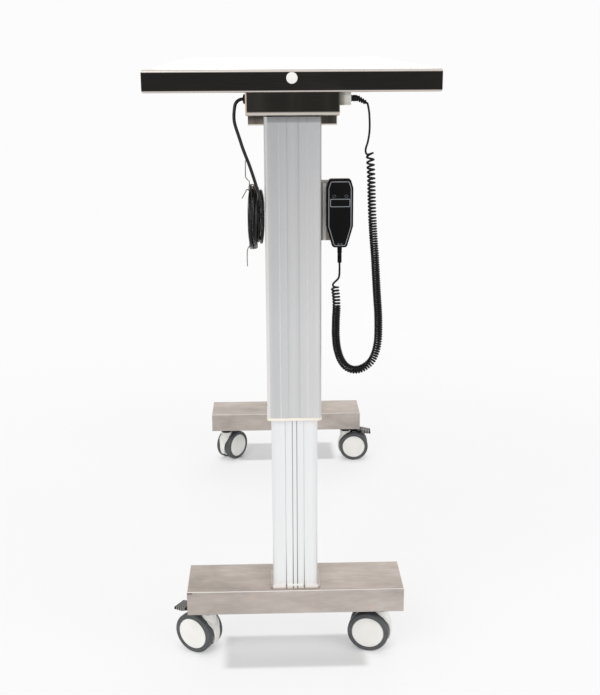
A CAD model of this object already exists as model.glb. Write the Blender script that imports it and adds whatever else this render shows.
import bpy
import math
from bisect import bisect_right
from mathutils import Matrix, Vector


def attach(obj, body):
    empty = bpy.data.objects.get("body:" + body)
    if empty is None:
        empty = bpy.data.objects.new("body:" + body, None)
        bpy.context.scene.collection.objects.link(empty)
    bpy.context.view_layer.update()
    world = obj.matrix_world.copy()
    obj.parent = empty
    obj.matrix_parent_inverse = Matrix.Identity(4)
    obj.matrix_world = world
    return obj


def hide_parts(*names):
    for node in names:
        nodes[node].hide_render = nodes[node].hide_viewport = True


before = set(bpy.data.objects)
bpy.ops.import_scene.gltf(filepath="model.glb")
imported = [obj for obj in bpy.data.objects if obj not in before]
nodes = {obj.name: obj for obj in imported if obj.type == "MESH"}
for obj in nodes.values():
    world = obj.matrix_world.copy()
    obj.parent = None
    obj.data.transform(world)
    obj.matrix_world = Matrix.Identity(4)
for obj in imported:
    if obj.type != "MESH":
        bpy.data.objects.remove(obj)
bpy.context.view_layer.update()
MM = 0.001
TURN = 2 * math.pi
scene = bpy.context.scene

# Camera fitted to the photo: focal length in its pixels, angles in radians, place of the eye
F_PX, LONG_PX, SENSOR = 1085.48, 695.0, 36.0
PITCH, ROLL, YAW = 0.2777, -0.0048, 0.0292
EYE = Vector((-53.95, -2971.29, 1431.94)) * MM


def make_camera():
    forward = Vector((math.sin(YAW) * math.cos(PITCH), math.cos(YAW) * math.cos(PITCH),
                      -math.sin(PITCH)))
    level = Vector((math.cos(YAW), -math.sin(YAW), 0))
    above = level.cross(forward)
    right = math.cos(ROLL) * level + math.sin(ROLL) * above
    up = -math.sin(ROLL) * level + math.cos(ROLL) * above
    data = bpy.data.cameras.new("camera")
    data.sensor_width = SENSOR
    data.lens = SENSOR * F_PX / LONG_PX
    data.clip_start, data.clip_end = 0.05, 100.0
    cam = bpy.data.objects.new("camera", data)
    scene.collection.objects.link(cam)
    m = Matrix.Identity(4)
    for i in range(3):
        m[i][0], m[i][1], m[i][2], m[i][3] = right[i], up[i], -forward[i], EYE[i]
    cam.matrix_world = m
    scene.camera = cam


make_camera()


# Curves and outlines, in millimetres
def catmull(points, steps):
    """A smooth curve through the points, with steps parts between two of them."""
    out = []
    n = len(points) - 1
    for i in range(n):
        a, b = points[max(i - 1, 0)], points[i]
        c, d = points[i + 1], points[min(i + 2, n)]
        for k in range(steps):
            t = k / steps
            out.append(0.5 * (2 * b + (c - a) * t + (2 * a - 5 * b + 4 * c - d) * t * t
                              + (3 * b - a - 3 * c + d) * t ** 3))
    out.append(points[-1])
    return out


def runs(points):
    """The distance along the line, at each of its points."""
    s = [0.0]
    for a, b in zip(points, points[1:]):
        s.append(s[-1] + (b - a).length)
    return s


def along_list(table, at):
    """The value at a distance, from a list of (distance, value)."""
    for (q0, p0), (q1, p1) in zip(table, table[1:]):
        if at <= q1:
            return p0 + (p1 - p0) * (max(at, q0) - q0) / (q1 - q0)
    return table[-1][1]


def rounded(points, radius, arc=6):
    """The corners of a 2D outline, rounded."""
    out = []
    n = len(points)
    for i in range(n):
        p, a, b = Vector(points[i]), Vector(points[i - 1]), Vector(points[(i + 1) % n])
        u, w = (a - p).normalized(), (b - p).normalized()
        half = math.acos(max(-1.0, min(1.0, u.dot(w)))) / 2
        back = min(radius / math.tan(half), 0.45 * (a - p).length, 0.45 * (b - p).length)
        r = back * math.tan(half)
        mid = p + (u + w).normalized() * (r / math.sin(half))
        s, e = p + u * back - mid, p + w * back - mid
        for k in range(arc + 1):
            t = k / arc
            v = (s * (1 - t) + e * t)
            out.append(mid + v.normalized() * r)
    return out


def rounded_rect(half_x, half_y, radius, arc):
    corners = [(-half_x, -half_y), (half_x, -half_y), (half_x, half_y), (-half_x, half_y)]
    return rounded(corners, radius, arc)


def inward(points):
    """1 where a 2D outline has its inside on its left, and -1 on its right."""
    area = sum(points[i - 1][0] * points[i][1] - points[i][0] * points[i - 1][1]
               for i in range(len(points)))
    return 1 if area > 0 else -1


def inset(points, d):
    """A convex 2D outline with each side moved inwards by d."""
    n = len(points)
    side = inward(points)
    out = []
    for i in range(n):
        p, a, b = Vector(points[i]), Vector(points[i - 1]), Vector(points[(i + 1) % n])
        e1, e2 = (p - a).normalized(), (b - p).normalized()
        n1 = Vector((-e1[1], e1[0])) * side
        n2 = Vector((-e2[1], e2[0])) * side
        m = (n1 + n2)
        m = m / max(m.dot(n1), 1e-6)
        out.append(p + m * d)
    return out


def inset_loop(points, d):
    """A smooth 2D outline with each point moved inwards by d."""
    n = len(points)
    side = inward(points)
    out = []
    for i in range(n):
        t = (Vector(points[(i + 1) % n]) - Vector(points[i - 1])).normalized()
        out.append(Vector(points[i]) + Vector((-t[1], t[0])) * d * side)
    return out


# Pieces and their meshes, in millimetres
def tube_curve(name, lines, radius, material, sides=4):
    """One round tube along each of the lines."""
    data = bpy.data.curves.new(name, "CURVE")
    data.dimensions = "3D"
    data.bevel_depth = radius * MM
    data.bevel_resolution = sides
    data.use_fill_caps = True
    for points in lines:
        spline = data.splines.new("POLY")
        spline.points.add(len(points) - 1)
        for p, v in zip(spline.points, points):
            p.co = (v[0] * MM, v[1] * MM, v[2] * MM, 1.0)
        spline.use_smooth = True
    data.materials.append(material)
    o = bpy.data.objects.new(name, data)
    scene.collection.objects.link(o)
    return o


def mesh_piece(name, verts, faces, material, sharp=35.0):
    """A smooth mesh, sharp where its faces meet at more than an angle in degrees."""
    me = bpy.data.meshes.new(name)
    me.from_pydata([(v[0] * MM, v[1] * MM, v[2] * MM) for v in verts], [], faces)
    me.validate()
    me.materials.append(material)
    me.polygons.foreach_set("use_smooth", [True] * len(me.polygons))
    me.set_sharp_from_angle(angle=math.radians(sharp))
    me.update()
    o = bpy.data.objects.new(name, me)
    scene.collection.objects.link(o)
    return o


def loft(rings, capped=True):
    """The vertices and faces between closed rings of the same count of points."""
    n = len(rings[0])
    verts = [v for r in rings for v in r]
    faces = []
    for i in range(len(rings) - 1):
        for k in range(n):
            a, b = i * n + k, i * n + (k + 1) % n
            faces.append((a, b, b + n, a + n))
    if capped:
        faces.append(tuple(reversed(range(n))))
        faces.append(tuple((len(rings) - 1) * n + k for k in range(n)))
    return verts, faces


def turned(profile, origin, axis, up, segments=32):
    """A profile of (distance along the axis, radius), turned about the axis."""
    axis, up = Vector(axis).normalized(), Vector(up)
    a = (up - axis * up.dot(axis)).normalized()
    b = axis.cross(a)
    rings = []
    for along, r in profile:
        rings.append([Vector(origin) + axis * along
                      + (a * math.cos(TURN * k / segments) + b * math.sin(TURN * k / segments)) * r
                      for k in range(segments)])
    return loft(rings)


def ribbed(count, start, step, rib):
    """A profile with a row of ribs; rib(k) lists rib k's points from its own start."""
    return [(start + k * step + along, r) for k in range(count) for along, r in rib(k)]


def joined(*parts):
    verts, faces = [], []
    for v, f in parts:
        o = len(verts)
        verts += list(v)
        faces += [tuple(i + o for i in q) for q in f]
    return verts, faces


# Materials: colours are display values of 0 to 255, places are in metres
def lin(colour):
    """A display colour made linear, with alpha."""
    shares = [c / 255 for c in colour]
    return tuple(c / 12.92 if c <= 0.04045 else ((c + 0.055) / 1.055) ** 2.4
                 for c in shares) + (1.0,)


class Mat:
    def __init__(self, name, rough=0.5, metal=0.0, shine=0.5):
        self.m = bpy.data.materials.new(name)
        self.m.use_nodes = True
        self.t = self.m.node_tree
        self.b = self.t.nodes["Principled BSDF"]
        self.b.inputs["Roughness"].default_value = rough
        self.b.inputs["Metallic"].default_value = metal
        self.b.inputs["Specular IOR Level"].default_value = shine
        self.xyz = None

    def node(self, kind, **props):
        n = self.t.nodes.new("ShaderNode" + kind)
        for k, v in props.items():
            setattr(n, k, v)
        return n

    def put(self, socket, value):
        """Link or set a socket, where there is a value."""
        if isinstance(value, bpy.types.NodeSocket):
            self.t.links.new(value, socket)
        elif value is not None:
            socket.default_value = lin(value) if isinstance(value, tuple) else value

    def coords(self, scale=(1, 1, 1)):
        tc = self.node("TexCoord")
        mp = self.node("Mapping")
        mp.inputs["Scale"].default_value = scale
        self.t.links.new(tc.outputs["Object"], mp.inputs["Vector"])
        return mp.outputs["Vector"]

    def place(self):
        if self.xyz is None:
            tc = self.node("TexCoord")
            s = self.node("SeparateXYZ")
            self.t.links.new(tc.outputs["Object"], s.inputs[0])
            self.xyz = s.outputs
        return self.xyz

    def handed(self):
        """X as seen from either end: the far end is the near end, turned round."""
        x, y, z = self.place()
        return self.math("MULTIPLY", x, self.math("SIGN", y))

    def facing_up(self):
        g = self.node("NewGeometry")
        s = self.node("SeparateXYZ")
        self.t.links.new(g.outputs["True Normal"], s.inputs[0])
        return s.outputs[2]

    def noise(self, vec, scale, detail, rough=0.55):
        n = self.node("TexNoise")
        n.inputs["Scale"].default_value = scale
        n.inputs["Detail"].default_value = detail
        n.inputs["Roughness"].default_value = rough
        self.t.links.new(vec, n.inputs["Vector"])
        return n.outputs[0]

    def math(self, op, a, b=None):
        n = self.node("Math", operation=op)
        self.put(n.inputs[0], a)
        self.put(n.inputs[1], b)
        return n.outputs[0]

    def range(self, value, lo, hi, a=0.0, b=1.0, smooth=True):
        n = self.node("MapRange", interpolation_type="SMOOTHSTEP" if smooth else "LINEAR")
        for k, v in (("Value", value), ("From Min", lo), ("From Max", hi),
                     ("To Min", a), ("To Max", b)):
            self.put(n.inputs[k], v)
        return n.outputs[0]

    def below(self, value, lo, hi):
        """1 below lo, 0 above hi."""
        return self.range(value, lo, hi, 1.0, 0.0)

    def share(self, value, lo, hi):
        """The value's place from lo to hi, from 0 to 1 in a straight line."""
        return self.range(value, lo, hi, smooth=False)

    def spread(self, noise, a, b):
        """From a to b in a straight line, over most of a noise's span."""
        return self.range(noise, 0.3, 0.7, a, b, False)

    def band(self, value, centre, half, soft):
        """1 near centre, 0 away from it."""
        d = self.math("ABSOLUTE", self.math("SUBTRACT", value, centre))
        return self.below(d, half, half + soft)

    def ramp(self, fac, stops):
        n = self.node("ValToRGB")
        e = n.color_ramp.elements
        while len(e) < len(stops):
            e.new(0.5)
        for x, (pos, c) in zip(e, stops):
            x.position = pos
            x.color = lin(c)
        self.t.links.new(fac, n.inputs[0])
        return n.outputs[0]

    def mix(self, fac, a, b, kind="MIX"):
        n = self.node("Mix", data_type="RGBA", blend_type=kind)
        for s, v in zip((n.inputs[0], n.inputs[6], n.inputs[7]), (fac, a, b)):
            self.put(s, v)
        return n.outputs[2]

    def colour(self, value):
        self.put(self.b.inputs["Base Color"], value)

    def rough(self, noise, lo, hi):
        self.put(self.b.inputs["Roughness"], self.spread(noise, lo, hi))

    def bump(self, height, strength, distance=0.0001):
        n = self.node("Bump")
        n.inputs["Strength"].default_value = strength
        n.inputs["Distance"].default_value = distance
        self.t.links.new(height, n.inputs["Height"])
        self.t.links.new(n.outputs[0], self.b.inputs["Normal"])


def plastic(name, colour, dark, rough=0.45, strength=0.15, shine=0.5):
    """Moulded plastic: a little uneven in colour, with a fine grain."""
    m = Mat(name, shine=shine)
    patch = m.noise(m.coords(), 14.0, 3.0)
    m.colour(m.ramp(patch, [(0.35, dark), (0.65, colour)]))
    fine = m.noise(m.coords(), 900.0, 2.0)
    m.rough(fine, rough - 0.06, rough + 0.06)
    m.bump(fine, strength)
    return m.m


# Scale of the brushing along a side, and the heights where the top's pale rolls end and begin
SIDE_BRUSH = (2.0, 2.0, 420.0)
LOWER_ROLL, UPPER_ROLL = (1.3272, 1.3290), (1.3650, 1.3662)


def edge_steel():
    """Brushed steel of the top: it mirrors the dark room on its sides and light on its rolls."""
    m = Mat("edge_steel", metal=0.85)
    z = m.place()[2]
    grain = m.noise(m.coords(SIDE_BRUSH), 6.0, 5.0, 0.6)
    wide = m.noise(m.coords((3.0, 3.0, 10.0)), 1.6, 3.0, 0.5)
    dark = m.ramp(grain, [(0.3, (24, 23, 21)), (0.7, (35, 34, 31))])
    dark = m.mix(m.range(wide, 0.45, 0.75, 0.0, 0.35), dark, (56, 54, 49))
    roll = m.math("MAXIMUM", m.range(z, *UPPER_ROLL), m.below(z, *LOWER_ROLL))
    side = m.mix(roll, dark, (206, 198, 192))
    flat = m.noise(m.coords((6.0, 300.0, 1.0)), 3.0, 4.0, 0.6)
    top = m.ramp(flat, [(0.3, (196, 194, 190)), (0.7, (214, 212, 208))])
    m.colour(m.mix(m.range(m.facing_up(), 0.8, 0.95), side, top))
    m.rough(grain, 0.24, 0.4)
    m.bump(grain, 0.12)
    return m.m


# Beam: distance of its end from the middle, its pale fold and its left edge across that end,
# and the height of its pale lower lip
BEAM_END, BEAM_LIP = (0.6765, 0.6775), (1.2815, 1.2862)
BEAM_FOLD, BEAM_LEFT = (0.0948, 0.0953), (-0.0962, -0.0955)


def beam_steel():
    m = Mat("beam_steel", metal=0.85)
    x, y, z = m.place()
    grain = m.noise(m.coords(SIDE_BRUSH), 6.0, 5.0, 0.6)
    wide = m.noise(m.coords((22.0, 3.0, 1.0)), 1.0, 3.0, 0.5)
    dark = m.ramp(grain, [(0.3, (27, 26, 24)), (0.7, (38, 37, 33))])
    dark = m.mix(m.range(wide, 0.45, 0.8, 0.0, 0.4), dark, (62, 59, 53))
    hand = m.handed()
    end = m.range(m.math("ABSOLUTE", y), *BEAM_END)
    fold = m.math("MULTIPLY", m.range(hand, *BEAM_FOLD), end)
    left = m.math("MULTIPLY", m.below(hand, *BEAM_LEFT), end)
    dark = m.mix(left, m.mix(fold, dark, (200, 180, 165)), (84, 80, 73))
    m.colour(m.mix(m.below(z, *BEAM_LIP), dark, (208, 200, 191)))
    m.rough(grain, 0.26, 0.42)
    m.bump(grain, 0.12)
    return m.m


# Bracket: heights of its upper shade and its pale lower lip, and its pale left edge
BRACKET_SHADE, BRACKET_LIP = (1.2630, 1.2750), (1.2590, 1.2606)
BRACKET_LEFT = (-0.0918, -0.0910)


def bracket_steel():
    """Brushed steel, darker on the wing left of the column than on the one right of it."""
    m = Mat("bracket_steel", rough=0.35, metal=0.8)
    z = m.place()[2]
    grain = m.noise(m.coords((500.0, 500.0, 4.0)), 2.0, 4.0, 0.6)
    wide = m.noise(m.coords((60.0, 60.0, 2.0)), 1.2, 3.0, 0.5)
    hand = m.handed()
    pale = m.ramp(wide, [(0.35, (84, 80, 73)), (0.55, (108, 102, 95)), (0.75, (132, 125, 117))])
    pale = m.mix(m.range(z, *BRACKET_SHADE, 0.0, 0.9), pale, (50, 47, 44))
    deep = m.ramp(wide, [(0.35, (42, 40, 37)), (0.6, (58, 55, 50)), (0.75, (96, 91, 84))])
    base = m.mix(m.range(hand, -0.02, 0.02), deep, pale)
    base = m.mix(m.spread(grain, 0.0, 0.35), base, (60, 57, 53))
    base = m.mix(m.below(hand, *BRACKET_LEFT), base, (168, 160, 151))
    m.colour(m.mix(m.below(z, *BRACKET_LIP), base, (204, 196, 188)))
    m.bump(grain, 0.12)
    return m.m


# Dark slit in the foot's end: middle, half width and soft edge across and in height, and the
# distance from the table's middle at which it begins
SLIT_X, SLIT_Z = (0.2470, 0.0055, 0.0010), (0.1874, 0.0011, 0.0006)
SLIT_Y = (0.6870, 0.6880)


def foot_steel():
    """Brushed sheet with the soft warm and cold patches of a blurred reflection."""
    m = Mat("foot_steel", metal=0.55)
    x, y, z = m.place()
    grain = m.noise(m.coords((9.0, 260.0, 420.0)), 2.2, 5.0, 0.62)
    blot = m.noise(m.coords((7.0, 11.0, 16.0)), 1.0, 4.0, 0.6)
    warm = m.ramp(blot, [(0.3, (162, 155, 149)), (0.45, (184, 175, 168)),
                         (0.6, (197, 188, 181)), (0.75, (212, 205, 201))])
    base = m.mix(m.spread(grain, 0.0, 0.32), warm, (138, 128, 121))
    pink = m.noise(m.coords((12.0, 20.0, 40.0)), 1.3, 3.0, 0.5)
    base = m.mix(m.range(pink, 0.56, 0.72, 0.0, 0.35), base, (206, 186, 174))
    up = m.facing_up()
    level = m.mix(1.0, base, (226, 222, 218), "MULTIPLY")
    base = m.mix(m.range(up, 0.9, 0.98), base, level)
    bend = m.math("MULTIPLY", m.range(up, 0.15, 0.35), m.below(up, 0.9, 0.98))
    slit = m.math("MULTIPLY", m.band(m.handed(), *SLIT_X), m.band(z, *SLIT_Z))
    slit = m.math("MULTIPLY", slit, m.range(m.math("ABSOLUTE", y), *SLIT_Y))
    m.colour(m.mix(slit, m.mix(bend, base, (226, 221, 216)), (52, 51, 50)))
    m.rough(grain, 0.3, 0.48)
    m.bump(grain, 0.2)
    return m.m


# Column profiles: half of the outer one's width, the height over which the grooves' colour
# changes, their soft edge, and the shade between two distances below the outer one's head
PROFILE_HALF, GROOVE_RISE, GROOVE_SOFT = 0.0605, 0.13, 0.0003
HEAD_SHADE = ((0.0130, 0.0100, 0.62), (0.010, 0.0, 0.3))
# Base plate: places of its dark dots, their half width and soft edge, and its warm ends
DOTS, DOT_SIZE, PLATE_ENDS = (0.0050, 0.0210), (0.0012, 0.0008), (0.0520, 0.0525)


def profile_metal(name, stops, grooves, tones, span, base_z=None, head_z=None):
    """Anodised aluminium with a lengthwise grain and tones across and upwards."""
    m = Mat(name, metal=0.35)
    x, y, z = m.place()
    across = m.share(m.math("MULTIPLY", m.handed(), -1.0), -PROFILE_HALF, PROFILE_HALF)
    col = m.ramp(across, stops)
    ax = m.math("ABSOLUTE", x)
    low_end = m.below(z, span[0], span[0] + GROOVE_RISE)
    for place, half, shade, low_shade in grooves:
        groove = m.math("MULTIPLY", m.band(ax, place, half, GROOVE_SOFT), 0.9)
        col = m.mix(groove, col, m.mix(low_end, shade, low_shade))
    col = m.mix(1.0, col, m.ramp(m.share(z, *span), tones), "MULTIPLY")
    grain = m.noise(m.coords((900.0, 900.0, 3.0)), 1.0, 4.0, 0.6)
    col = m.mix(m.spread(grain, 0.0, 0.10), col, (120, 120, 122))
    if head_z:
        shadow = m.math("ADD", *[m.range(z, head_z - lo, head_z - hi, 0.0, most)
                                 for lo, hi, most in HEAD_SHADE])
        shadow = m.math("MULTIPLY", shadow, m.range(across, 0.055, 0.065))
        col = m.mix(shadow, col, (112, 112, 112))
    if base_z:
        patches = m.noise(m.coords((30.0, 30.0, 5.0)), 1.5, 3.0)
        warm = m.ramp(patches, [(0.35, (168, 159, 152)), (0.65, (188, 179, 173))])
        dots = m.math("MAXIMUM", *[m.band(ax, dot, *DOT_SIZE) for dot in DOTS])
        plate = m.mix(m.math("MULTIPLY", dots, 0.75), (235, 228, 224), (96, 92, 90))
        plate = m.mix(m.range(ax, *PLATE_ENDS), plate, warm)
        col = m.mix(m.below(z, base_z, base_z + 0.0002), col, plate)
    m.colour(col)
    m.rough(grain, 0.36, 0.5)
    m.bump(grain, 0.12)
    return m.m


def board_material():
    m = Mat("board", rough=0.7)
    fleck = m.noise(m.coords(), 320.0, 4.0, 0.7)
    cloud = m.noise(m.coords(), 9.0, 3.0)
    col = m.ramp(fleck, [(0.3, (112, 100, 86)), (0.55, (140, 127, 110)), (0.8, (166, 152, 132))])
    m.colour(m.mix(m.range(cloud, 0.35, 0.65, 0.0, 0.25), col, (98, 88, 76)))
    m.bump(fleck, 0.3, 0.0003)
    return m.m


def lead_sheath():
    """Sheath of the curly lead, with a slight sheen."""
    m = Mat("lead_sheath", shine=0.2)
    m.colour(m.ramp(m.noise(m.coords(), 60.0, 3.0), [(0.35, (6, 6, 6)), (0.7, (14, 14, 15))]))
    fine = m.noise(m.coords(), 1200.0, 2.0)
    m.rough(fine, 0.25, 0.4)
    m.bump(fine, 0.1)
    return m.m


# The glints on the mains lead end between these heights
GLINT_TOP = (1.110, 1.125)


def mains_sheath():
    """Glossy black sheath, with pale glints along the strands of the coil."""
    m = Mat("mains_sheath", rough=0.2, shine=0.3)
    black = m.ramp(m.noise(m.coords(), 60.0, 3.0), [(0.35, (5, 5, 6)), (0.7, (11, 11, 12))])
    glint = m.noise(m.coords((300.0, 30.0, 14.0)), 1.0, 3.0, 0.5)
    glint = m.math("MULTIPLY", m.range(glint, 0.56, 0.66, 0.0, 0.7),
                   m.below(m.place()[2], *GLINT_TOP))
    m.colour(m.mix(glint, black, (120, 116, 112)))
    m.bump(m.noise(m.coords(), 1200.0, 2.0), 0.1)
    return m.m


def tyre_material():
    m = Mat("tyre")
    n = m.noise(m.coords(), 30.0, 4.0)
    m.colour(m.ramp(n, [(0.35, (70, 72, 74)), (0.65, (84, 86, 88))]))
    fine = m.noise(m.coords(), 700.0, 3.0)
    m.rough(fine, 0.48, 0.65)
    m.bump(fine, 0.2)
    return m.m


def worn_metal(name, low, high, metal, rough):
    m = Mat(name, metal=metal)
    n = m.noise(m.coords(), 90.0, 4.0)
    m.colour(m.ramp(n, [(0.3, low), (0.7, high)]))
    fine = m.noise(m.coords(), 800.0, 2.0)
    m.rough(fine, rough - 0.08, rough + 0.08)
    m.bump(fine, 0.12)
    return m.m


# The socket box, from its shaded left side to its right side
SOCKET_X = (0.098, 0.122)


def socket_plastic():
    m = Mat("grey_plastic")
    m.colour(m.ramp(m.share(m.place()[0], *SOCKET_X),
                    [(0.0, (120, 115, 107)), (0.35, (142, 138, 130)),
                     (0.5, (178, 174, 167)), (1.0, (190, 187, 180))]))
    m.bump(m.noise(m.coords(), 900.0, 2.0), 0.15)
    return m.m


# Holder: its plate's heights, its upper flange, its flange at the column and the handset's shade
HOLDER_Z, HOLDER_TOP = (1.009, 1.133), (1.1328, 1.1332)
HOLDER_SIDE, HOLDER_SHADE = (0.0638, 0.0648), (0.0700, 0.0735)


def holder_steel():
    """Bright plate behind the handset, dark beside the column and in the handset's shadow."""
    m = Mat("holder_steel", rough=0.38)
    x, y, z = m.place()
    plate = m.ramp(m.share(z, *HOLDER_Z),
                   [(0.0, (238, 235, 231)), (0.45, (247, 245, 242)), (1.0, (254, 253, 252))])
    plate = m.mix(m.below(x, *HOLDER_SIDE), plate, (96, 90, 84))
    plate = m.mix(m.range(x, *HOLDER_SHADE), plate, (150, 139, 128))
    m.colour(m.mix(m.range(z, *HOLDER_TOP), plate, (166, 163, 158)))
    m.bump(m.noise(m.coords((300.0, 300.0, 8.0)), 2.0, 4.0), 0.1)
    return m.m


# Castors: place of the swivel axes, and each one's side in X and Y and its direction in degrees
CASTOR_X, CASTOR_Y = 0.209, 0.624
CASTOR_TURNS = {
    "near_left": (-1, -1, 148.0), "near_right": (1, -1, 166.0),
    "far_left": (-1, 1, 50.0), "far_right": (1, 1, 358.0),
}
# Brake pedal: reach from the swivel axis, its ribs, and the half width and soft edge of the
# worn grooves between them
PEDAL_L, PEDAL_TIP, RIB_STEP, RIBS, WORN = 0.088, 0.004, 0.0055, 5, (0.0008, 0.0004)


def pedal_plastic(name):
    sx, sy, turn = CASTOR_TURNS[name]
    m = Mat(name + "_pedal", rough=0.42, shine=0.2)
    x, y, z = m.place()
    c, s = math.cos(math.radians(turn)), math.sin(math.radians(turn))
    along = m.math("ADD", m.math("MULTIPLY", m.math("SUBTRACT", x, sx * CASTOR_X), c),
                   m.math("MULTIPLY", m.math("SUBTRACT", y, sy * CASTOR_Y), s))
    worn = 0.0
    for k in range(RIBS):
        groove = m.band(along, PEDAL_L - PEDAL_TIP - (k + 0.5) * RIB_STEP, *WORN)
        worn = m.math("MAXIMUM", worn, groove)
    black = m.ramp(m.noise(m.coords(), 14.0, 3.0), [(0.35, (14, 14, 15)), (0.65, (20, 20, 21))])
    m.colour(m.mix(worn, black, (180, 176, 170)))
    m.bump(m.noise(m.coords(), 900.0, 2.0), 0.3)
    return m.m


# Columns: tones across the outer width and up the length, in shares of these; grooves are
# place, half width, colour, and colour at the lower end; spans are heights
OUTER_STOPS = [
    (0.0, (232, 230, 228)), (0.045, (230, 228, 226)), (0.060, (206, 206, 206)),
    (0.10, (201, 201, 202)), (0.16, (198, 199, 200)), (0.24, (200, 201, 202)),
    (0.36, (205, 206, 207)), (0.395, (203, 204, 205)), (0.50, (209, 209, 210)),
    (0.60, (202, 202, 203)), (0.63, (208, 208, 209)), (0.85, (210, 210, 211)),
    (0.94, (214, 214, 215)), (0.96, (204, 204, 205)), (1.0, (206, 205, 204)),
]
INNER_STOPS = [
    (0.07, (244, 244, 245)), (0.13, (240, 241, 242)), (0.16, (244, 244, 244)),
    (0.30, (244, 245, 245)), (0.42, (246, 246, 246)), (0.58, (244, 244, 244)),
    (0.70, (244, 245, 245)), (0.84, (244, 244, 244)), (0.87, (236, 237, 238)),
    (0.93, (240, 240, 240)),
]
OUTER_TONES = [(0.0, (252, 252, 251)), (0.31, (248, 248, 248)),
               (0.73, (226, 226, 226)), (1.0, (208, 209, 210))]
INNER_TONES = [(0.0, (250, 250, 250)), (1.0, (244, 244, 245))]
OUTER_GROOVES = [(0.030, 0.0009, (236, 236, 236), (236, 236, 236))]
INNER_GROOVES = [(0.021, 0.0007, (228, 230, 233), (120, 122, 126)),
                 (0.005, 0.0009, (172, 175, 180), (110, 113, 118))]
OUTER_SPAN, OUTER_HEAD = (0.613, 1.27), 1.275
INNER_SPAN, BASE_PLATE_TOP = (0.194, 0.6), 0.1941

M_EDGE = edge_steel()
M_BEAM = beam_steel()
M_BRACKET = bracket_steel()
M_FOOT = foot_steel()
M_OUTER = profile_metal("outer_profile", OUTER_STOPS, OUTER_GROOVES, OUTER_TONES, OUTER_SPAN,
                        head_z=OUTER_HEAD)
M_INNER = profile_metal("inner_profile", INNER_STOPS, INNER_GROOVES, INNER_TONES, INNER_SPAN,
                        base_z=BASE_PLATE_TOP)
M_BOARD = board_material()
M_CREAM = plastic("cream_plastic", (236, 231, 219), (226, 220, 207))
M_WHITE = plastic("white_plastic", (243, 242, 238), (236, 235, 230), 0.35)
M_BLACK = plastic("black_plastic", (17, 17, 18), (12, 12, 13), 0.42, strength=0.3, shine=0.14)
M_HAND = plastic("handset_plastic", (12, 12, 13), (8, 8, 9), 0.36, strength=0.3, shine=0.07)
M_GREY = socket_plastic()
M_TRIM = plastic("trim_grey", (124, 127, 131), (110, 113, 117), 0.4)
M_MARK = plastic("mark_grey", (78, 80, 84), (68, 70, 74), 0.4, shine=0.3)
M_CORD = mains_sheath()
M_LEAD = lead_sheath()
M_TYRE = tyre_material()
M_DARK = worn_metal("dark_metal", (38, 37, 36), (60, 58, 56), 0.6, 0.45)
M_ZINC = worn_metal("zinc", (134, 136, 138), (168, 170, 172), 0.8, 0.42)
M_PIN = worn_metal("brass_pins", (182, 160, 104), (206, 186, 132), 0.9, 0.3)
M_WIRE = worn_metal("tie_wire", (96, 90, 84), (150, 142, 134), 0.2, 0.45)
M_HOLD = holder_steel()
M_LABEL = plastic("plain_disc", (232, 230, 227), (222, 219, 216), 0.5)

DRESS = {
    "tabletop": M_EDGE, "top_board": M_BOARD, "traverse_beam": M_BEAM,
    "near_beam_cover": M_BEAM, "far_beam_cover": M_BEAM, "control_box": M_BLACK,
    "handset_body": M_HAND, "up_button": M_HAND, "down_button": M_HAND,
    "handset_holder": M_HOLD, "handset_socket": M_GREY, "handset_plug": M_BLACK,
    "handset_lead": M_LEAD, "mains_gland": M_BLACK, "mains_cord": M_CORD,
    "mains_coil": M_CORD, "coil_ties": M_WIRE, "mains_plug": M_BLACK,
}
END_DRESS = {
    "head_bracket": M_BRACKET, "outer_column": M_OUTER, "inner_column": M_INNER,
    "guide_bush": M_CREAM, "drive": M_ZINC, "drive_nut": M_WHITE, "foot_cover": M_FOOT,
    "foot_frame": M_ZINC, "castor_stems": M_DARK,
}
CASTOR_DRESS = {
    "housing": M_WHITE, "outer_hub": M_WHITE, "inner_hub": M_WHITE,
    "outer_tyre": M_TYRE, "inner_tyre": M_TYRE,
}
for end in ("near", "far"):
    for part, material in END_DRESS.items():
        DRESS["%s_%s" % (end, part)] = material
for castor in CASTOR_TURNS:
    DRESS[castor + "_pedal"] = pedal_plastic(castor)
    for part, material in CASTOR_DRESS.items():
        DRESS["%s_%s" % (castor, part)] = material
for name, node in nodes.items():
    if not node.material_slots:
        node.data.materials.append(DRESS[name])
    for slot in node.material_slots:
        slot.link = "OBJECT"
        slot.material = DRESS[name]

# Mains lead: gland, free stretch, coil and plug, in millimetres
COIL_X, COIL_Y, COIL_Z, COIL_R = -64.8, -605.0, 1058.0, 69.0
PITCH_X, PITCH_R = 9.6, 8.8
# Layers, turns in each, the widening turn after them, points in a turn, and the part of a
# turn before and after a layer's end in which the lead crosses to the next layer
LAYERS, TURNS, LAST_TURN, TURN_POINTS, CROSSING = 4, 1.5, 0.25, 36, 0.25
MAINS_D = 7.0
# Share of the coil's radius that the lead keeps, against the turns made
SPREAD = [(0.0, 0.86), (2.6, 0.88), (3.4, 1.02), (4.4, 1.02), (5.1, 0.94), (6.25, 0.97)]
GLAND_END = Vector((-103.5, -640.0, 1309.5))
MAINS_ROUTE = [
    (-109.3, -640, 1308.5), (-114.4, -640.3, 1305.5), (-118.2, -640.8, 1301),
    (-120.2, -641.5, 1295.5), (-121.6, -643, 1286), (-122.4, -644.5, 1275),
    (-121.6, -646.5, 1263), (-118.8, -649, 1252), (-111.5, -654, 1230), (-105, -659, 1210),
    (-98.5, -663.5, 1193), (-91, -668, 1174), (-82, -673, 1147), (-75.8, -675, 1126),
    (-70.5, -675.5, 1106), (-68.5, -675, 1090),
]
COIL_MID = COIL_X - PITCH_X * (LAYERS - 1) / 2
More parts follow.
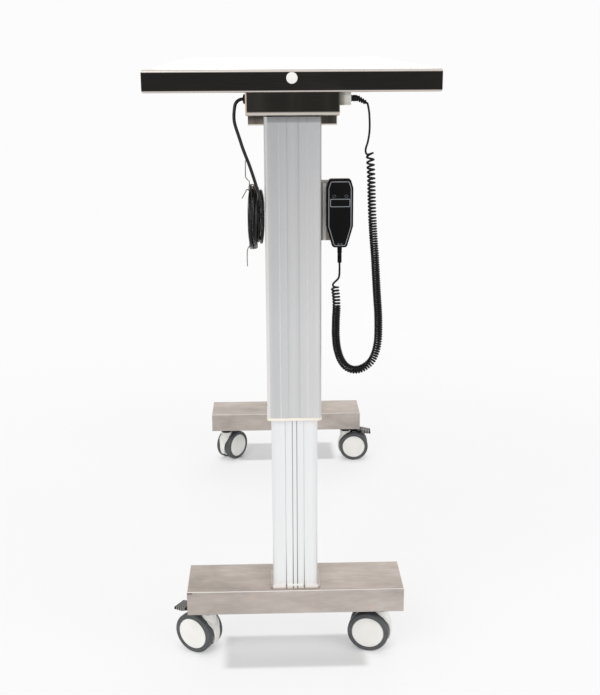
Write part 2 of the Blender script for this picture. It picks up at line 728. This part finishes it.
# Wire ties: angle round the coil and pull on its turns, reach of that pull in degrees, the
# wire's diameter, and its loose ends from the coil outwards
TIES, TIE_REACH, TIE_D = ((90.0, 0.27), (262.0, 0.27)), 75.0, 2.2
TIE_ENDS = [
    [[(-93, -612, 1133), (-97, -612, 1138), (-100.7, -612, 1144), (-101, -612, 1160),
      (-100.7, -612, 1179)],
     [(-98.4, -612, 1116.7), (-103.8, -612, 1107.7), (-109.5, -612, 1097.4)]],
    [[(-93.5, -625, 998), (-99, -628, 988), (-100.2, -630, 972), (-100, -630, 951)]],
]
# Plug: where its body begins, its outline, and its rings' distances and shares of the outline
PLUG_AT = 44
PLUG_OUTLINE = rounded_rect(7, 17.5, 5.0, 5)
PLUG_RINGS = [
    (0, 0.62, 0.36), (2, 0.72, 0.46), (8, 0.92, 0.80), (14, 1.0, 0.97),
    (18, 1.0, 1.0), (35, 1.0, 1.0), (37.2, 0.97, 0.99), (38, 0.88, 0.95),
]
PIN_Z, PIN_PROFILE = 9.5, [(82, 2.0), (96, 2.0), (100.2, 1.9), (101, 1.2)]


def tie_pull(degrees, tie):
    """How far a wire tie pulls the turns together, at an angle round the coil."""
    away = abs((degrees - tie[0] + 540) % 360 - 180)
    return tie[1] * (1 + math.cos(math.pi * min(away / TIE_REACH, 1.0))) / 2


def coil_point(t):
    """The lead's middle after t turns, wound inwards and outwards by layers."""
    k = round(t / TURNS)
    near = t - k * TURNS
    if k == 0 or k == LAYERS or abs(near) > CROSSING:
        layer = min(math.floor(t / TURNS), LAYERS - 1)
    else:
        layer = k - 1 + (near + CROSSING) / (2 * CROSSING)
    sweep = abs(((t / TURNS + 1) % 2) - 1)
    r = COIL_R - PITCH_R * TURNS * sweep
    if t > LAYERS * TURNS:
        r = COIL_R + PITCH_R * (t - LAYERS * TURNS)
    r *= along_list(SPREAD, t)
    a = math.pi + TURN * t
    keep = 1.0 - sum(tie_pull(math.degrees(a), tie) for tie in TIES)
    x = COIL_MID + (COIL_X - PITCH_X * layer - COIL_MID) * keep
    return Vector((x, COIL_Y + r * math.cos(a), COIL_Z + r * math.sin(a)))


def tie_loop(degrees, steps=40):
    """The wire's loop round the coil's left strands, just clear of each that it passes."""
    a = math.radians(degrees)
    first = (a / TURN - 0.5) % 1.0
    turns = [coil_point(first + k) for k in range(round(LAYERS * TURNS))]
    turns = [p for p in turns if p.x < COIL_MID + PITCH_X / 4]
    out = Vector((0, math.cos(a), math.sin(a)))
    mid = Vector((0, COIL_Y, COIL_Z))
    loop = []
    for k in range(steps + 1):
        w = TURN * k / steps
        d = (math.cos(w), math.sin(w))
        p = max(turns, key=lambda q: q.x * d[0] + (q - mid).dot(out) * d[1])
        loop.append(p + (Vector((1, 0, 0)) * d[0] + out * d[1]) * (MAINS_D + TIE_D) / 2)
    return loop


def make_ties():
    lines = []
    for tie, ends in zip(TIES, TIE_ENDS):
        loop = tie_loop(tie[0])
        lines.append(loop)
        root = min(loop, key=lambda p: p.x - 0.3 * abs(p.z - ends[0][0][2]))
        for end in ends:
            lines.append(catmull([root] + [Vector(p) for p in end], 6))
    ties = tube_curve("wire_ties", lines, TIE_D / 2, M_WIRE, 3)
    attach(ties, "table_frame")
    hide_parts("coil_ties")
    return ties


def make_mains():
    """The lead from its gland through the coil, and the place of its other end."""
    end = coil_point(0.0) + Vector((0, 0, MAINS_D))
    free = [GLAND_END - Vector((1.5, 0, 0))] + [Vector(p) for p in MAINS_ROUTE]
    free += [end + Vector((0, 0, MAINS_D)), end]
    points = [GLAND_END] + catmull(free, 8)
    total = LAYERS * TURNS + LAST_TURN
    count = round(total * TURN_POINTS)
    points += [coil_point(total * k / count) for k in range(count + 1)]
    tail = points[-1] + Vector((0, MAINS_D, 0))
    points.append(tail)
    lead = tube_curve("mains_lead", [points], MAINS_D / 2, M_CORD)
    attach(lead, "table_frame")
    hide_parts("mains_cord", "mains_coil")
    return lead, runs(points)[-1], tail


def make_mains_plug(tail):
    """Ribbed relief, rounded body and two pins, along +Y from the lead's end."""
    profile = [(0, 3.6)] + ribbed(8, 3, 4.6, lambda k: [
        (0, 3.7 + 0.06 * k), (0.4, 4.9), (2.6, 4.9), (3.0, 3.8 + 0.06 * k)])
    profile += [(41, 4.2), (44.5, 4.8)]
    relief = turned(profile, tail, (0, 1, 0), (1, 0, 0), 20)
    body = loft([[tail + Vector((p[0] * share_x, PLUG_AT + along, p[1] * share_z))
                  for p in PLUG_OUTLINE] for along, share_x, share_z in PLUG_RINGS])
    plug = mesh_piece("mains_plug_body", *joined(relief, body), M_BLACK)
    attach(plug, "table_frame")
    pins = [turned(PIN_PROFILE, tail + Vector((0, 0, z)), (0, 1, 0), (1, 0, 0), 16)
            for z in (-PIN_Z, PIN_Z)]
    pin = mesh_piece("mains_plug_pins", *joined(*pins), M_PIN)
    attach(pin, "table_frame")
    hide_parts("mains_plug")
    return [plug, pin]


mains, mains_length, mains_tail = make_mains()
mains_plug = make_mains_plug(mains_tail)
wire_ties = make_ties()

# Handset and its lead, which runs through its curls to the plug in the socket
COLUMN_FRONT = -676.0
HAND_X, HAND_Z, HAND_H, HAND_T = 100.5, 998.0, 146.0, 28.0
HAND_BACK = COLUMN_FRONT + 35.0
HAND_MID = HAND_BACK - HAND_T / 2
RELIEF_L, LEAD_D, CURL_R = 36.5, 4.5, 7.2
# Plug: its socket's mouth, the lengths of its head and its boot, and the droop of the boot
PLUG_X, PLUG_Z, PLUG_HEAD, PLUG_BOOT, DROOP = 122.0, 1311.0, 14.0, 21.6, math.radians(27.5)
# The lead's middle line, in X and Z
LEAD_ROUTE = [
    (100.6, 953), (100.6, 945), (100.0, 933), (96.6, 922), (91.2, 912), (91.4, 901),
    (93.0, 890), (94.0, 877), (94.5, 856), (93.4, 840), (93.1, 823), (92.9, 806),
    (93.8, 788), (96, 770), (99.6, 756), (104.7, 742), (114.3, 728), (125.5, 720.5),
    (137.5, 718.2), (150.5, 720.8), (162, 727.6), (173, 738.5), (181, 756), (186, 779),
    (187.4, 803), (186.6, 845), (183.4, 887), (180.4, 930), (177.4, 975), (173.4, 1020),
    (170.4, 1065), (168.4, 1110), (167.4, 1140), (166.4, 1160), (165.6, 1171),
    (165.0, 1181), (164.6, 1188), (163.2, 1194.5), (160.0, 1200.5), (157.6, 1207),
    (158.4, 1217.6), (160.3, 1227.6), (162, 1240.1), (162.5, 1252.5), (162.2, 1264.9),
    (161.5, 1277.2), (160.8, 1283.4), (159.9, 1289), (158.7, 1294.4),
]
# Distances along the lead where it begins to swing and to curl, the height and side where the
# curls end, and the distance over which it stops swinging
SWING_FROM, CURL_FROM, CURL_TOP, PLUG_SIDE, SWING_TO = 36.0, 53.0, 1194.5, 150.0, 24.0
# Part of a turn at which the curls begin and end, points in a curl, distance between points
# outside the curls, and rounds and reach of the smoothing where the two meet
CURL_START, CURL_STOP, CURL_POINTS, FREE_STEP = 0.25, 0.75, 14, 3.0
SMOOTHINGS, SMOOTH_REACH = 5, 6
# Distance from one curl to the next, against the distance to the curls' end at the plug, and
# against the distance from their end at the handset
CURL_PITCH = [
    (0, 3.0), (1.5, 3.0), (2.2, 14.5), (15, 12.0), (26, 10.0), (35, 9.5), (53, 9.0),
    (62, 8.6), (71, 8.0), (87, 7.7), (108, 7.5), (130, 7.2), (138, 6.8), (144, 5.9),
    (165, 5.5), (205, 5.2), (235, 5.1), (335, 5.0), (385, 5.1), (415, 5.6), (475, 5.6),
    (500, 5.2), (540, 5.0),
]
HAND_PITCH = [(0, 7.3), (42, 7.0), (48, 5.0)]


def make_lead():
    """The lead, its length, its exit and its turns about the middle line."""
    start = Vector((HAND_X, HAND_Z - RELIEF_L))
    direction = Vector((math.cos(DROOP), -math.sin(DROOP)))
    end = Vector((PLUG_X + PLUG_HEAD, PLUG_Z)) + PLUG_BOOT * direction
    route = [start, start - Vector((0, LEAD_D / 2))] + [Vector(p) for p in LEAD_ROUTE]
    route += [end + 0.55 * LEAD_D * direction, end]
    fine = catmull(route, 10)
    s = runs(fine)
    total = s[-1]
    curl_to = next(a for a, p in zip(s, fine) if p[0] > PLUG_SIDE and p[1] > CURL_TOP)

    def mid(at):
        at = min(max(at, 0.0), total)
        lo = min(bisect_right(s, at) - 1, len(s) - 2)
        t = (at - s[lo]) / max(s[lo + 1] - s[lo], 1e-9)
        p = fine[lo] * (1 - t) + fine[lo + 1] * t
        return Vector((p[0], HAND_MID, p[1]))

    def curled(at, turn, grow=1.0):
        t = (mid(at + 2) - mid(at - 2)).normalized()
        b = Vector((0, 1, 0))
        a = b.cross(t)
        w = TURN * turn
        grow = min(max(grow, 0.0), 1.0)
        swing = CURL_R * grow * grow * (3 - 2 * grow)
        return mid(at) + swing * (math.cos(w) * b + math.sin(w) * a)

    points, joins = [], []
    at, turn = 0.0, CURL_START
    while at < CURL_FROM:
        points.append(curled(at, turn, (at - SWING_FROM) / (CURL_FROM - SWING_FROM)))
        at += FREE_STEP
    joins.append(len(points))
    at = CURL_FROM
    while at < curl_to or round((turn - CURL_STOP) * CURL_POINTS) % CURL_POINTS:
        points.append(curled(at, turn))
        turn += 1.0 / CURL_POINTS
        pitch = max(along_list(CURL_PITCH, curl_to - at), along_list(HAND_PITCH, at - CURL_FROM))
        at += pitch / CURL_POINTS
    joins.append(len(points))
    curl_end = at
    while at < total - 2:
        points.append(curled(at, turn, 1 - (at - curl_end) / SWING_TO))
        at += FREE_STEP
    points.append(mid(total))
    for join in joins:
        for _ in range(SMOOTHINGS):
            for i in range(join - SMOOTH_REACH, join + SMOOTH_REACH + 1):
                points[i] = (points[i - 1] + 2 * points[i] + points[i + 1]) / 4
    lead = tube_curve("curly_lead", [points], LEAD_D / 2, M_LEAD, 3)
    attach(lead, "table_frame")
    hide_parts("handset_lead")
    return lead, runs(points)[-1], Vector((HAND_X, HAND_MID, HAND_Z - RELIEF_L)), turn


def make_lead_plug():
    """Round head in the socket, and a ribbed boot that droops with the lead."""
    origin = Vector((PLUG_X, HAND_MID, PLUG_Z))
    head = turned([(0, 6.2), (0.6, 6.7), (2.0, 6.7), (2.4, 6.1), (4.0, 6.1), (4.4, 6.6),
                   (11.5, 6.6), (13.2, 6.0), (PLUG_HEAD, 5.0)],
                  origin, (1, 0, 0), (0, 1, 0), 28)
    profile = [(-3.0, 4.8), (0.2, 5.0)] + ribbed(4, 0.6, 5.1, lambda k: [
        (along, 6.4 - 0.5 * k - less)
        for along, less in ((0, 1.6), (0.3, 0), (2.9, 0.3), (3.2, 2.1), (5.0, 2.3))])
    profile += [(PLUG_BOOT, 3.2)]
    axis = (math.cos(DROOP), 0, -math.sin(DROOP))
    boot = turned(profile, origin + Vector((PLUG_HEAD, 0, 0)), axis, (0, 1, 0), 24)
    plug = mesh_piece("lead_plug", *joined(head, boot), M_BLACK)
    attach(plug, "table_frame")
    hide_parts("handset_plug")
    return plug


lead, lead_length, lead_exit, lead_turns = make_lead()
lead_plug = make_lead_plug()

# Handset's outline, a little larger than the solid's, and its rings of depth and inset
OUTLINE_W, OUTLINE_LOW, OUTLINE_SHIFT = 58.0, -1.0, -0.5
SHELL_RINGS = [
    (0.0, 3.6), (0.35, 2.4), (1.2, 1.35), (2.8, 0.6), (5.5, 0.15), (9.0, 0.0), (19.0, 0.0),
    (23.5, 0.5), (26.2, 1.6), (27.5, 3.0), (28.0, 4.6),
]
# Trim frame on the handset's face, and the keys' marks: place, size and width of their line
FRAME_HALF, FRAME_Y = (21.5, 8.8), 96.0
BUTTON_X, BUTTON_Y = 13.0, HAND_H - 35.5
MARK_HALF, MARK_LINE = (4.0, 3.1), 1.0
SCREW_X, SCREW_Y = 3.3, 7.6


def hand_outline(d, radius):
    w, low = OUTLINE_W, OUTLINE_LOW
    pts = [(-w * 0.4, HAND_H), (w * 0.4, HAND_H), (w / 2, HAND_H * 0.87), (w / 2, HAND_H * 0.31),
           (w * 0.27, low), (-w * 0.27, low), (-w / 2, HAND_H * 0.31), (-w / 2, HAND_H * 0.87)]
    return [p + Vector((OUTLINE_SHIFT, 0))
            for p in rounded(inset(pts, d), max(radius - d, 1.5), 6)]


def on_hand(p, depth):
    """A place on the handset, from its lower middle, at a depth behind its face."""
    return Vector((HAND_X + p[0], HAND_BACK - HAND_T + depth, HAND_Z + p[1]))


def make_handset():
    """Crowned shell with the lead's ribbed relief below it."""
    shell = loft([[on_hand(p, depth) for p in hand_outline(d, 7.0)] for depth, d in SHELL_RINGS])
    profile = [(-2.0, 5.1), (2.0, 5.1), (14.8, 4.95), (15.2, 4.3), (16.6, 4.2)]
    profile += ribbed(5, 17.0, 3.8, lambda k: [
        (0, 4.2), (0.4, 4.8 - 0.05 * k), (2.7, 4.8 - 0.05 * k), (3.1, 4.2)])
    profile += [(RELIEF_L - 0.7, 3.6), (RELIEF_L, 2.8)]
    relief = turned(profile, (HAND_X, HAND_MID, HAND_Z), (0, 0, -1), (1, 0, 0), 24)
    body = mesh_piece("handset_shell", *joined(shell, relief), M_HAND, 50.0)
    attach(body, "table_frame")
    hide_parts("handset_body")


def raised_line(outline, width, depth, height, shift=(0, 0)):
    """A line round an outline on the handset's face, standing proud of a depth."""
    inner = inset_loop(outline, width)
    a, b, c, d = [[on_hand((p[0] + shift[0], p[1] + shift[1]), at) for p in loop]
                  for loop, at in ((outline, depth), (outline, depth - height),
                                   (inner, depth - height), (inner, depth))]
    return loft([a, b, c, d, a], capped=False)


def make_trim():
    ring = raised_line(hand_outline(4.4, 9.0), 1.7, 0.3, 0.5)
    box = raised_line(rounded_rect(*FRAME_HALF, 2.0, 4), 1.6, 0.3, 0.5, (0, FRAME_Y))
    trim = mesh_piece("handset_trim", *joined(ring, box), M_TRIM, 60.0)
    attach(trim, "table_frame")
    lens = [(MARK_HALF[0] * math.cos(TURN * k / 24), MARK_HALF[1] * math.sin(TURN * k / 24))
            for k in range(24)]
    for s, name in ((-1, "up_button"), (1, "down_button")):
        line = raised_line(lens, MARK_LINE, -0.9, 0.3, (s * BUTTON_X, BUTTON_Y))
        mark = mesh_piece(name + "_mark", *line, M_MARK, 60.0)
        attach(mark, name)
    screws = [turned([(-0.2, 1.9), (0.35, 1.9), (0.5, 1.5)], on_hand((x, SCREW_Y), 0.15),
                     (0, -1, 0), (1, 0, 0), 16) for x in (-SCREW_X, SCREW_X)]
    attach(mesh_piece("handset_screws", *joined(*screws), M_MARK), "table_frame")


make_handset()
make_trim()

# White clip at the foot of each column
CLIP_SIZE, CLIP_Y, CLIP_Z, CLIP_BEVEL = (37.4, 4.0, 3.8), 670.9, 195.9, 0.4


def make_clip(name, side):
    half_x, half_y, half_z = [v / 2 for v in CLIP_SIZE]
    outline = rounded_rect(half_x, half_y, 1.0, 4)
    small = inset_loop(outline, CLIP_BEVEL)
    middle = Vector((0, side * CLIP_Y, CLIP_Z))
    rings = [[middle + Vector((p[0], p[1], z)) for p in loop]
             for loop, z in ((small, -half_z), (outline, -half_z + CLIP_BEVEL),
                             (outline, half_z - CLIP_BEVEL), (small, half_z))]
    return mesh_piece(name, *loft(rings), M_WHITE)


for name, side, body in (("column_clip", -1, "near_base"), ("far_column_clip", 1, "far_base")):
    clip = make_clip(name, side)
    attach(clip, body)

# Lower lip of each castor's hood, about the wheels' axle: half its width against the angle,
# the angles of its rings and the one where its rim tapers off, and the half width and the
# radii of its web and rim
TRAIL, AXLE_Z = 29.0, 50.0
LIP_HALF = [(158, 11.4), (165, 11.2), (180, 9.5), (195, 8.0), (205, 6.8), (208, 5.6)]
LIP_ANGLES, LIP_TAPER = [*range(158, 203, 4), 205, 207, 208], 207
WEB_HALF, WEB_IN, WEB_OUT, RIM_IN, RIM_OUT = 6.3, 43.5, 51.5, 51.7, 54.6


def make_lip(name):
    """The rim narrows along the lip and stands on a web of even width."""
    sx, sy, turn = CASTOR_TURNS[name]
    c, s = math.cos(math.radians(turn)), math.sin(math.radians(turn))
    rings = []
    for angle in LIP_ANGLES:
        w = along_list(LIP_HALF, angle)
        web = min(WEB_HALF, w - 0.2)
        rim = RIM_OUT if angle < LIP_TAPER else RIM_OUT - 0.8 * (angle - LIP_TAPER + 1)
        a = math.radians(angle)
        ring = []
        for t, r in ((-WEB_HALF, WEB_IN), (WEB_HALF, WEB_IN), (web, WEB_OUT), (w, RIM_IN),
                     (w, rim - 1.1), (w - 1, rim), (1 - w, rim), (-w, rim - 1.1),
                     (-w, RIM_IN), (-web, WEB_OUT)):
            out = TRAIL + r * math.cos(a)
            ring.append(Vector((sx * CASTOR_X / MM + c * out - s * t,
                                sy * CASTOR_Y / MM + s * out + c * t,
                                AXLE_Z + r * math.sin(a))))
        rings.append(ring)
    lip = mesh_piece(name + "_lip", *loft(rings), M_WHITE, 40.0)
    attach(lip, name + "_castor")


for name in CASTOR_TURNS:
    make_lip(name)

# Plain disc on the top's near edge
DISC_AT, DISC_PROFILE = (-1, -679.95, 1353.5), [(0, 11.6), (0.25, 11.6), (0.35, 11.3)]
disc = turned(DISC_PROFILE, DISC_AT, (0, -1, 0), (1, 0, 0), 40)
label = mesh_piece("plain_label_disc", *disc, M_LABEL)
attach(label, "table_frame")

# Floor, backdrop and light, in metres
FLOOR_HALF, BACKDROP, WORLD_LIGHT = 40.0, (252, 252, 252), 0.72
# Shade under the feet: where it fades across, and middle, half length and soft edge along Y
FOOT_SHADE_X = (0.155, 0.185)
NEAR_SHADE, FAR_SHADE = (-0.637, 0.062, 0.020), (0.690, 0.072, 0.020)
# How far the shade takes from the backdrop's white: under the near foot from front to back,
# under the far foot, and round a wheel between two distances from its middle
NEAR_DARK, FAR_DARK, WHEEL_DARK = (-0.690, -0.590, 0.72, 0.62), 0.72, (0.020, 0.075, 0.42, 0.0)
# The share of white in the floor, between two distances from the table's middle
FLOOR_WHITE = (1.0, 2.4, 0.72, 1.0)


def make_floor():
    """A pale floor, white as the backdrop away from the table, with its shade."""
    me = bpy.data.meshes.new("floor")
    s = FLOOR_HALF
    me.from_pydata([(-s, -s, 0), (s, -s, 0), (s, s, 0), (-s, s, 0)], [], [(0, 1, 2, 3)])
    floor = bpy.data.objects.new("floor", me)
    scene.collection.objects.link(floor)
    m = Mat("floor", rough=0.9)
    x, y, z = m.place()

    def length(a, b):
        return m.math("SQRT", m.math("ADD", m.math("MULTIPLY", a, a), m.math("MULTIPLY", b, b)))

    haze = m.noise(m.coords(), 0.8, 2.0)
    pale = m.ramp(haze, [(0.3, (246, 246, 247)), (0.7, (250, 250, 250))])
    inside = m.below(m.math("ABSOLUTE", x), *FOOT_SHADE_X)
    near = m.math("MULTIPLY", inside, m.band(y, *NEAR_SHADE))
    far = m.math("MULTIPLY", inside, m.band(y, *FAR_SHADE))
    pale = m.mix(m.math("MULTIPLY", near, m.below(y, -0.700, -0.600)), pale, (229, 229, 229))
    m.colour(m.mix(far, pale, (238, 238, 238)))
    shade = m.math("MAXIMUM", m.math("MULTIPLY", near, m.range(y, *NEAR_DARK)),
                   m.math("MULTIPLY", far, FAR_DARK))
    for sx, sy, turn in CASTOR_TURNS.values():
        cx = sx * CASTOR_X + TRAIL * MM * math.cos(math.radians(turn))
        cy = sy * CASTOR_Y + TRAIL * MM * math.sin(math.radians(turn))
        spot = length(m.math("SUBTRACT", x, cx), m.math("SUBTRACT", y, cy))
        shade = m.math("MAXIMUM", shade, m.range(spot, *WHEEL_DARK))
    white = m.math("SUBTRACT", m.range(length(x, y), *FLOOR_WHITE), shade)
    light = m.node("LightPath").outputs
    seen = m.math("ADD", light["Is Camera Ray"], light["Is Glossy Ray"])
    seen = m.math("MINIMUM", m.math("ADD", seen, light["Is Transmission Ray"]), 1.0)
    glow = m.node("Emission")
    glow.inputs["Color"].default_value = lin(BACKDROP)
    mixer = m.node("MixShader")
    m.put(mixer.inputs[0], m.math("MULTIPLY", m.math("MAXIMUM", white, 0.0), seen))
    m.put(mixer.inputs[1], m.b.outputs[0])
    m.put(mixer.inputs[2], glow.outputs[0])
    m.put(m.t.nodes["Material Output"].inputs["Surface"], mixer.outputs[0])
    me.materials.append(m.m)


def make_world():
    """Plain light for the object, and the backdrop's white for the camera and for gloss."""
    world = bpy.data.worlds.new("studio")
    scene.world = world
    world.use_nodes = True
    t = world.node_tree
    plain = t.nodes["Background"]
    plain.inputs["Color"].default_value = (1, 1, 1, 1)
    plain.inputs["Strength"].default_value = WORLD_LIGHT
    white = t.nodes.new("ShaderNodeBackground")
    white.inputs["Color"].default_value = lin(BACKDROP)
    white.inputs["Strength"].default_value = 1.0
    path = t.nodes.new("ShaderNodeLightPath")
    seen = t.nodes.new("ShaderNodeMath")
    seen.operation = "MAXIMUM"
    mixer = t.nodes.new("ShaderNodeMixShader")
    for a, b in ((path.outputs["Is Camera Ray"], seen.inputs[0]),
                 (path.outputs["Is Glossy Ray"], seen.inputs[1]),
                 (seen.outputs[0], mixer.inputs[0]), (plain.outputs[0], mixer.inputs[1]),
                 (white.outputs[0], mixer.inputs[2]),
                 (mixer.outputs[0], t.nodes["World Output"].inputs["Surface"])):
        t.links.new(a, b)


def area_light(name, place, aim, size, power):
    data = bpy.data.lights.new(name, "AREA")
    data.shape = "SQUARE"
    data.size = size
    data.energy = power
    o = bpy.data.objects.new(name, data)
    o.location = place
    o.rotation_mode = "QUATERNION"
    o.rotation_quaternion = (Vector(aim) - Vector(place)).to_track_quat("-Z", "Y")
    scene.collection.objects.link(o)


make_floor()
make_world()
area_light("key", (-2.2, -3.6, 3.4), (0, 0, 0.7), 2.6, 75.0)
area_light("fill", (3.0, -2.6, 2.0), (0, 0, 0.6), 2.4, 28.0)
area_light("back", (0.5, 3.6, 3.0), (0, 0, 0.8), 2.6, 30.0)
scene.view_settings.view_transform = "Standard"
